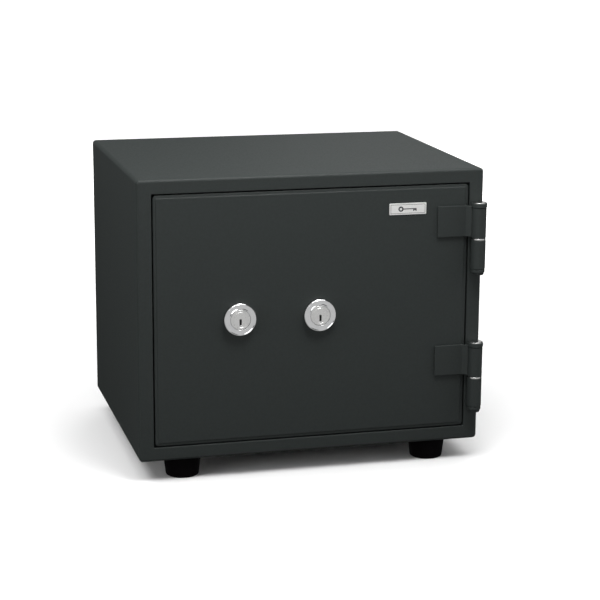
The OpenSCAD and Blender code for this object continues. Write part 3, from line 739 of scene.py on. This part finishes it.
def label_plate():
    """A blank enamelled plate with a thin border line and a plain key, but no lettering."""
    low, high = measured("label_plate")
    half_w, half_h = (high.x - low.x) / 2, (high.z - low.z) / 2
    mid_x, mid_z = (low.x + high.x) / 2, (low.z + high.z) / 2 - MID_Z

    def ring(width, height, radius, y):
        return [(x + mid_x, y, z + mid_z) for x, y, z in rounded(width, height, radius, y)]

    rings = [ring(half_w, half_h, 0.9, 0.05), ring(half_w, half_h, 0.9, -0.6)]
    for a, b in arc((-0.25, -0.6), 0.25, 0, -90, 3):
        rings.append(ring(half_w + a, half_h + a, 0.9 + a, b))
    plate = make("blank_label_plate", [loft(rings, cap_first=True, cap_last=True)])
    finish_object(plate, "door", LABEL, ["label_plate"])

    below, above = -0.83, -0.89
    line = loft([ring(half_w - i, half_h - i, 0.5, y)
                 for i, y in ((1.5, below), (1.5, above), (1.85, above), (1.85, below))], closed=True)
    shaft = [(-6.5, 0.55), (10.5, 0.55), (10.5, -2.6), (9.1, -2.6), (9.1, -1.5), (7.8, -1.5), (7.8, -2.6),
             (6.4, -2.6), (6.4, -0.55), (-6.5, -0.55)]
    bow = [(3.1, below), (3.1, above), (1.5, above), (1.5, below)]
    parts = [line, prism(shaft, below, above, inward(mid_x, mid_z + MID_Z)),
             lathe(bow, inward(mid_x - 8.6, mid_z + MID_Z), 48)]
    finish_object(make("label_key_print", parts), "door", INK)


# ---------------------------------------------------------------- hinges


def hinges():
    """Two lift-off hinges: a leaf on the door, a knuckle on the case, a pin and a washer each."""
    for name, z in zip(("upper", "lower"), HINGE_Z):
        hinge_leaf(name, z)
        case_knuckle(name, z)
        hinge_pin(name, z)


def hinge_leaf(name, z):
    """The door's half: a joggled leaf, its knuckle with a cap, and the weld between them.

    The end of the leaf runs into the pin, out of sight inside the knuckle.
    """
    low, high = measured(f"{name}_hinge_leaf")
    top, bottom, r = high.z - z, low.z - z, BARREL_R
    cap = top - CAP_H
    span = (z + bottom + 1.0, z + bottom + 1.0 + LEAF_H)
    path = [(low.x, LEAF_Y), (HINGE_X - 14, LEAF_Y), (HINGE_X - 9, RAISED_Y), (HINGE_X - 2, RAISED_Y)]
    plate = prism(bent_strip(path, LEAF_T, 2.5), *span, upright(0, 0))
    near, far = low.x + LEAF_T, HINGE_X - 15
    pad = prism([(near, 0.1), (far, 0.1), (far, -1.2), (near, -1.2)],
                span[0] + LEAF_T, span[1] - LEAF_T, upright(0, 0))
    leaf = make(f"{name}_hinge_leaf_formed", [plate, pad])
    finish_object(leaf, "door", PAINT, [f"{name}_hinge_leaf"], bevel=0.7)

    knuckle = fillet([
        (PIN_R, bottom), (r - 0.7, bottom, 0.3), (r, bottom + 0.8, 0.4), (r, cap - 1.1, 0.2),
        (r - 0.7, cap - 0.6, 0.15), (r - 0.7, cap, 0.1), (CAP_R - 0.35, cap, 0.15), (CAP_R, cap + 0.4, 0.3),
        (CAP_R, top - 0.6, 0.3), (CAP_R - 0.6, top, 0.3), (PIN_R, top)], 0)
    barrel = make(f"{name}_hinge_knuckle", [lathe(knuckle, upright(HINGE_X, HINGE_Y, z))])
    finish_object(barrel, "door", PAINT)
    bead = make(f"{name}_leaf_weld", [weld_bead(HINGE_X - r - 0.4, HINGE_Y + r * 0.55, span)])
    finish_object(bead, "door", PAINT)


def case_knuckle(name, z):
    """The case's half: a closed knuckle with a grooved foot, on a web welded to the case."""
    low, high = measured(f"{name}_frame_knuckle")
    foot, head, r = low.z - z + 2.5, high.z - z, BARREL_R
    lower = fillet([
        (PIN_R, head), (r - 0.6, head, 0.3), (r, head - 0.7, 0.4), (r, foot + 5.2, 0.2),
        (r - 0.8, foot + 4.8, 0.15), (r - 0.8, foot + 4.1, 0.15), (r - 0.3, foot + 3.8, 0.2),
        (r - 0.3, foot + 1.0, 0.4), (r - 1.2, foot, 0.3), (r - 1.5, foot - 0.3, 0.1),
        (r - 1.5, foot - 0.7, 0.1), (r - 1.2, foot - 0.9, 0.2), (r - 2.0, foot - 2.5, 0.6),
        (0, foot - 2.5), (0, foot), (PIN_R, foot + 3)], 0)
    barrel = make(f"{name}_case_knuckle", [lathe(lower, upright(HINGE_X, HINGE_Y, z), closed=False)])
    finish_object(barrel, "cabinet", PAINT, [f"{name}_frame_knuckle"])

    span = (z + foot + 1.5, z + head - 1.5)
    left, right, near = HINGE_X - WEB_HALF, HINGE_X + WEB_HALF, HINGE_Y + 5
    web = prism([(left, near), (right, near), (right, 0.1), (left, 0.1)], *span, upright(0, 0))
    finish_object(make(f"{name}_knuckle_web", [web]), "cabinet", PAINT)
    beads = [weld_bead(x, -0.2, span) for x in (left - 0.4, right + 0.4)]
    finish_object(make(f"{name}_knuckle_weld", beads), "cabinet", PAINT)


def hinge_pin(name, z):
    """The pin with its bright head on top, and the washer between the knuckles."""
    low = measured(f"{name}_hinge_pin")[0]
    top, r, shank = highest(f"{name}_hinge_leaf").z - z, BARREL_R, PIN_R - PIN_PLAY
    axis = upright(HINGE_X, HINGE_Y, z)
    pin = fillet([
        (0, low.z - z), (shank, low.z - z, 0.5), (shank, top + 0.05), (r - 0.1, top + 0.05, 0.1),
        (r - 0.1, top + 0.8, 0.35), (r - 0.9, top + 1.15, 0.6), (0, top + 1.3)], 0, closed=False)
    piece = make(f"{name}_pin_turned", [lathe(pin, axis, closed=False)])
    finish_object(piece, "cabinet", BRIGHT, [f"{name}_hinge_pin"])
    washer = fillet([(PIN_R, -WASHER_HALF), (r - 0.15, -WASHER_HALF, 0.35),
                     (r - 0.15, WASHER_HALF, 0.35), (PIN_R, WASHER_HALF)], 0)
    piece = make(f"{name}_washer_turned", [lathe(washer, axis)])
    finish_object(piece, "cabinet", BRIGHT, [f"{name}_hinge_washer"])


def weld_bead(x, y, span, radius=1.15):
    """A weld bead along z with the ripples of a hand-held torch."""
    low, high = span
    steps = int((high - low) / 0.45)
    rings = []
    for k in range(steps + 1):
        share = k / steps
        end = min(1.0, 6 * share + 0.15, 6 * (1 - share) + 0.15)
        ripple = 1 + 0.10 * math.sin(share * (high - low) * 2 * math.pi / 1.9)
        ripple += 0.06 * math.sin(17 * share + x)
        z = low + (high - low) * share
        rings.append([(x + radius * end * ripple * math.cos(a), y + radius * end * ripple * math.sin(a), z)
                      for a in (2 * math.pi * i / 14 for i in range(14))])
    return loft(rings, cap_first=True, cap_last=True)


# ---------------------------------------------------------------- locks


def locks():
    """Polished roses with turned grooves, and satin plugs with an upright keyway."""
    for side, x, nickel in zip(("left", "right"), LOCK_X, NICKEL):
        axis = inward(x, MID_Z)
        r, h = ROSE_R, ROSE_H
        disc, lip = r - RING_W, r - 0.8
        dish_r = (lip + disc + 0.7) / 2
        dish_half = lip - 0.3 - dish_r
        dish = [(dish_r + t / DISH_STEPS * dish_half, -h + DISH_DEPTH * (1 - t * t / DISH_STEPS ** 2))
                for t in range(DISH_STEPS, -DISH_STEPS - 1, -1)]
        rose = fillet([
            (ROSE_BORE, 33), (12.5, 33, 0.5), (12.5, 0.5), (r, 0.5), (r, -h + 0.8, 0.35), (lip, -h, 0.3),
            *dish, (disc + 0.35, -h, 0.15), (disc + 0.15, -h + 0.4, 0.1),
            (disc + 0.15, -3.8), (ROSE_BORE, -3.8)], 0)
        piece = make(f"{side}_lock_rose", [lathe(rose, axis, 128)])
        finish_object(piece, "door", CHROME, [f"{side}_lock_housing"])

        plug = fillet([
            (0, -h + 0.1), (8.8, -h + 0.1, 0.08), (9.0, -h + 0.3, 0.08), (9.2, -h + 0.1, 0.08),
            (disc - 0.45, -h + 0.1, 0.15), (disc, -h + 0.6, 0.2), (disc, -4), (ROSE_BORE - 0.05, -4),
            (ROSE_BORE - 0.05, 36.2), (0, 36.2)], 0, closed=False)
        piece = make(f"{side}_lock_plug_turned", [lathe(plug, axis, 128, closed=False)])
        keyway = make("cutter", [block((x - KEYWAY_HALF, -h - 2, MID_Z - 6.7),
                                       (x + KEYWAY_HALF, -h + 22, MID_Z + 0.8))])
        flare = [[(x + u * w, y, MID_Z - 3.05 + v * t) for u, v in ((-1, -1), (1, -1), (1, 1), (-1, 1))]
                 for w, t, y in ((1.45, 4.1, -h - 0.2), (KEYWAY_HALF, 3.75, -h + 0.45))]
        mouth = make("cutter", [loft(flare, cap_first=True, cap_last=True)])
        cut(piece, keyway, mouth)
        finish_object(piece, f"{side}_plug", nickel, [f"{side}_lock_plug"])


# ---------------------------------------------------------------- carried-over CAD nodes

SLOT_LOOKS = {
    "zinc_steel": ZINC, "bright_steel": BRIGHT, "liner_paint": LINER, "case_paint": PAINT,
    "insulation": FILLING, "rubber": RUBBER, "chrome": CHROME, "lock_brass": NICKEL[0], "label_metal": LABEL,
}


def carry_over():
    """Materials, and fine edges where they show, for the CAD nodes that stay."""
    slots = {row["node"]: row["material_slot"] for row in frame["record"]["subparts"]}
    for name, node in frame["nodes"].items():
        if node.hide_render:
            continue
        node.data.materials.clear()
        node.data.materials.append(SLOT_LOOKS[slots[name]])
        for polygon in node.data.polygons:
            polygon.material_index = 0
        if name in ("shelf_rails", "bolt_sockets", "dog_sockets"):
            edge = node.modifiers.new("edge", "BEVEL")
            edge.width, edge.segments = 0.15 * MM, 2
            edge.limit_method, edge.angle_limit = "ANGLE", math.radians(40)


# ---------------------------------------------------------------- studio


# The brightness of the room in front of the safe and of the dark screens in it, as the locks mirror them
ROOM_GREY, SCREEN_GREY = 0.62, 0.02
# Where the screens stand: direction and the sine of half their width, with a soft edge
SCREENS = (((-0.375, -0.925, -0.060), 0.20), ((0.475, -0.820, 0.322), 0.18))
SCREEN_EDGE = 0.006
# How much of the light the floor sheds on the safe, against the white that the camera sees
FLOOR_SHED = 0.05
# The floor's own glow for the camera, and the distances in metres between which it sets in
FLOOR_GLOW, GLOW_FROM, GLOW_FULL = 0.5, 0.45, 1.4
# The sky's brightness at these heights, as the sine of the elevation
SKY = ((0.0, 0.50), (0.12, 0.04), (1.0, 0.04))
# Kind, name, place, target, power, size in metres or degrees
LAMPS = (
    ("SUN", "soft_overhead", (0.1, 0.05, 3.0), (0, 0, 0), 1.95, 70),
    ("AREA", "front_panel", (-0.207, -1.208, 0.453), (-0.04, -0.15, 0.19), 1.15, 0.42),
    ("AREA", "front_high", (0.05, -0.50, 0.95), (0, -0.15, 0.25), 4.7, 0.4),
    ("AREA", "back_right", (0.7, 1.6, 0.8), (0, 0, 0.3), 0.9, 0.8),
    ("AREA", "left_high", (-0.85, 0.0, 1.10), (-0.2, 0, 0.25), 6.0, 0.5),
    ("AREA", "left_low", (-1.30, -0.60, 0.45), (-0.2, 0, 0.25), 5.5, 0.6),
    ("AREA", "rear_fill", (0.7, 2.2, 0.9), (0, 0.1, 0.15), 18.0, 1.2),
    ("AREA", "right_side", (1.5, -0.7, 0.9), (0, 0, 0.15), 7.5, 1.0),
)
MIRRORED_LAMPS = ("soft_overhead", "front_panel", "front_high", "back_right")


def floor():
    """A floor that the camera sees white, glossy pieces mirror grey, and that sheds little light."""
    bpy.ops.mesh.primitive_plane_add(size=16, location=(0, 0, -0.0002))
    ground = bpy.context.object
    ground.name = "studio_floor"
    white = Surface("studio_floor_white", (0.92, 0.92, 0.92), 0.9, specular=0.0)
    white.mottle(3, 0.004)
    away = white.add("ShaderNodeVectorMath", operation="LENGTH")
    white.link(white.coords, away.inputs[0])
    glow = white.ranged(away.outputs["Value"], 0.0, FLOOR_GLOW, GLOW_FROM, GLOW_FULL)
    white.shader.inputs["Emission Color"].default_value = (1, 1, 1, 1)
    white.link(glow, white.shader.inputs["Emission Strength"])

    shed = white.add("ShaderNodeBsdfDiffuse")
    shed.inputs["Color"].default_value = (FLOOR_SHED, FLOOR_SHED, FLOOR_SHED, 1)
    mirrored = white.add("ShaderNodeEmission")
    split = white.add("ShaderNodeSeparateXYZ")
    white.link(white.coords, split.inputs[0])
    white.link(white.ranged(split.outputs["Y"], ROOM_GREY, 0.05, -0.35, -0.05), mirrored.inputs["Strength"])
    path = white.add("ShaderNodeLightPath")
    unseen = white.mixed(path.outputs["Is Glossy Ray"], shed.outputs[0], mirrored.outputs[0])
    seen = white.mixed(path.outputs["Is Camera Ray"], unseen, white.shader.outputs[0])
    white.link(seen, white.output.inputs["Surface"])
    ground.data.materials.append(white.material)


def light(kind, name, location, target, power, size):
    """A lamp aimed at a target. The camera never sees it, and only some are mirrored."""
    data = bpy.data.lights.new(name, kind)
    data.energy = power
    if kind == "AREA":
        data.shape, data.size = "DISK", size
    else:
        data.angle = math.radians(size)
    lamp = bpy.data.objects.new(name, data)
    lamp.location = location
    lamp.visible_camera = False
    lamp.visible_glossy = name in MIRRORED_LAMPS
    lamp.rotation_euler = (Vector(target) - Vector(location)).to_track_quat("-Z", "Y").to_euler()
    bpy.context.scene.collection.objects.link(lamp)


def screened_room(room, direction):
    """The grey of the room in front of the safe, dark where a screen stands."""
    grey = None
    for toward, half_width in SCREENS:
        facing = room.add("ShaderNodeVectorMath", operation="DOT_PRODUCT")
        room.link(direction, facing.inputs[0])
        facing.inputs[1].default_value = toward
        cosine = math.sqrt(1 - half_width ** 2)
        screen = room.ranged(facing.outputs["Value"], 1.0 if grey else ROOM_GREY, SCREEN_GREY,
                             cosine - SCREEN_EDGE, cosine + SCREEN_EDGE)
        grey = room.times(grey, screen) if grey else screen
    return grey


def studio():
    """A room that the camera sees white, dim in what it sheds and grey where glossy pieces mirror it."""
    world = bpy.data.worlds.new("studio_world")
    bpy.context.scene.world = world
    world.use_nodes = True
    room = Nodes(world.node_tree)
    output = room.add("ShaderNodeOutputWorld")
    path = room.add("ShaderNodeLightPath")
    direction = room.add("ShaderNodeTexCoord").outputs["Generated"]
    split = room.add("ShaderNodeSeparateXYZ")
    room.link(direction, split.inputs["Vector"])
    sky = room.add("ShaderNodeValToRGB")
    room.link(split.outputs["Z"], sky.inputs["Fac"])
    elements = sky.color_ramp.elements
    elements[0].position, elements[1].position = SKY[0][0], SKY[-1][0]
    for position, _ in SKY[1:-1]:
        elements.new(position)
    for element, (_, grey) in zip(elements, SKY):
        element.color = (grey, grey, grey, 1)

    in_front = room.ranged(split.outputs["Y"], 1.0, 0.0, -0.30, -0.10)
    blend = room.add("ShaderNodeMix", data_type="RGBA")
    room.link(room.times(in_front, path.outputs["Is Glossy Ray"]), blend.inputs[0])
    room.link(sky.outputs["Color"], blend.inputs[6])
    room.link(screened_room(room, direction), blend.inputs[7])
    shed, seen = room.add("ShaderNodeBackground"), room.add("ShaderNodeBackground")
    room.link(blend.outputs[2], shed.inputs["Color"])
    seen.inputs["Color"].default_value = (1, 1, 1, 1)
    mix = room.mixed(path.outputs["Is Camera Ray"], shed.outputs[0], seen.outputs[0])
    room.link(mix, output.inputs["Surface"])

    for lamp in LAMPS:
        light(*lamp)
    settings = bpy.context.scene.view_settings
    settings.view_transform, settings.look = "Standard", "None"
    settings.exposure, settings.gamma = 0.0, 1.0


# The view fitted to the photograph: lens, azimuth, elevation and roll, and the place in the cabinet's frame
CAMERA_LENS = 109.34
CAMERA_ANGLES = (14.929, 13.213, 0.388)
CAMERA_PLACE = (-544.94, -1984.13, 665.37)


def aim_camera():
    """The camera stands where the fitted view has it: low, and a little to the left."""
    data = bpy.data.cameras.new("camera")
    data.lens, data.sensor_width = CAMERA_LENS, 36.0
    camera = bpy.data.objects.new("camera", data)
    bpy.context.scene.collection.objects.link(camera)
    azimuth, elevation, roll = (math.radians(a) for a in CAMERA_ANGLES)
    forward = Vector((math.sin(azimuth) * math.cos(elevation),
                      math.cos(azimuth) * math.cos(elevation), -math.sin(elevation)))
    right = Vector((math.cos(azimuth), -math.sin(azimuth), 0))
    up = right.cross(forward)
    right, up = (right * math.cos(roll) + up * math.sin(roll),
                 up * math.cos(roll) - right * math.sin(roll))
    turn = Matrix((right, up, -forward)).transposed().to_4x4()
    camera.matrix_world = Matrix.Translation(place(*CAMERA_PLACE)) @ turn
    bpy.context.scene.camera = camera


for build in (case_shell, jamb, back_panel, underside, feet, liner, shelf, door_front, door_pan, door_cover,
              door_seal, bolts, label_plate, hinges, locks, carry_over, floor, studio, aim_camera):
    build()

bpy.context.view_layer.update()
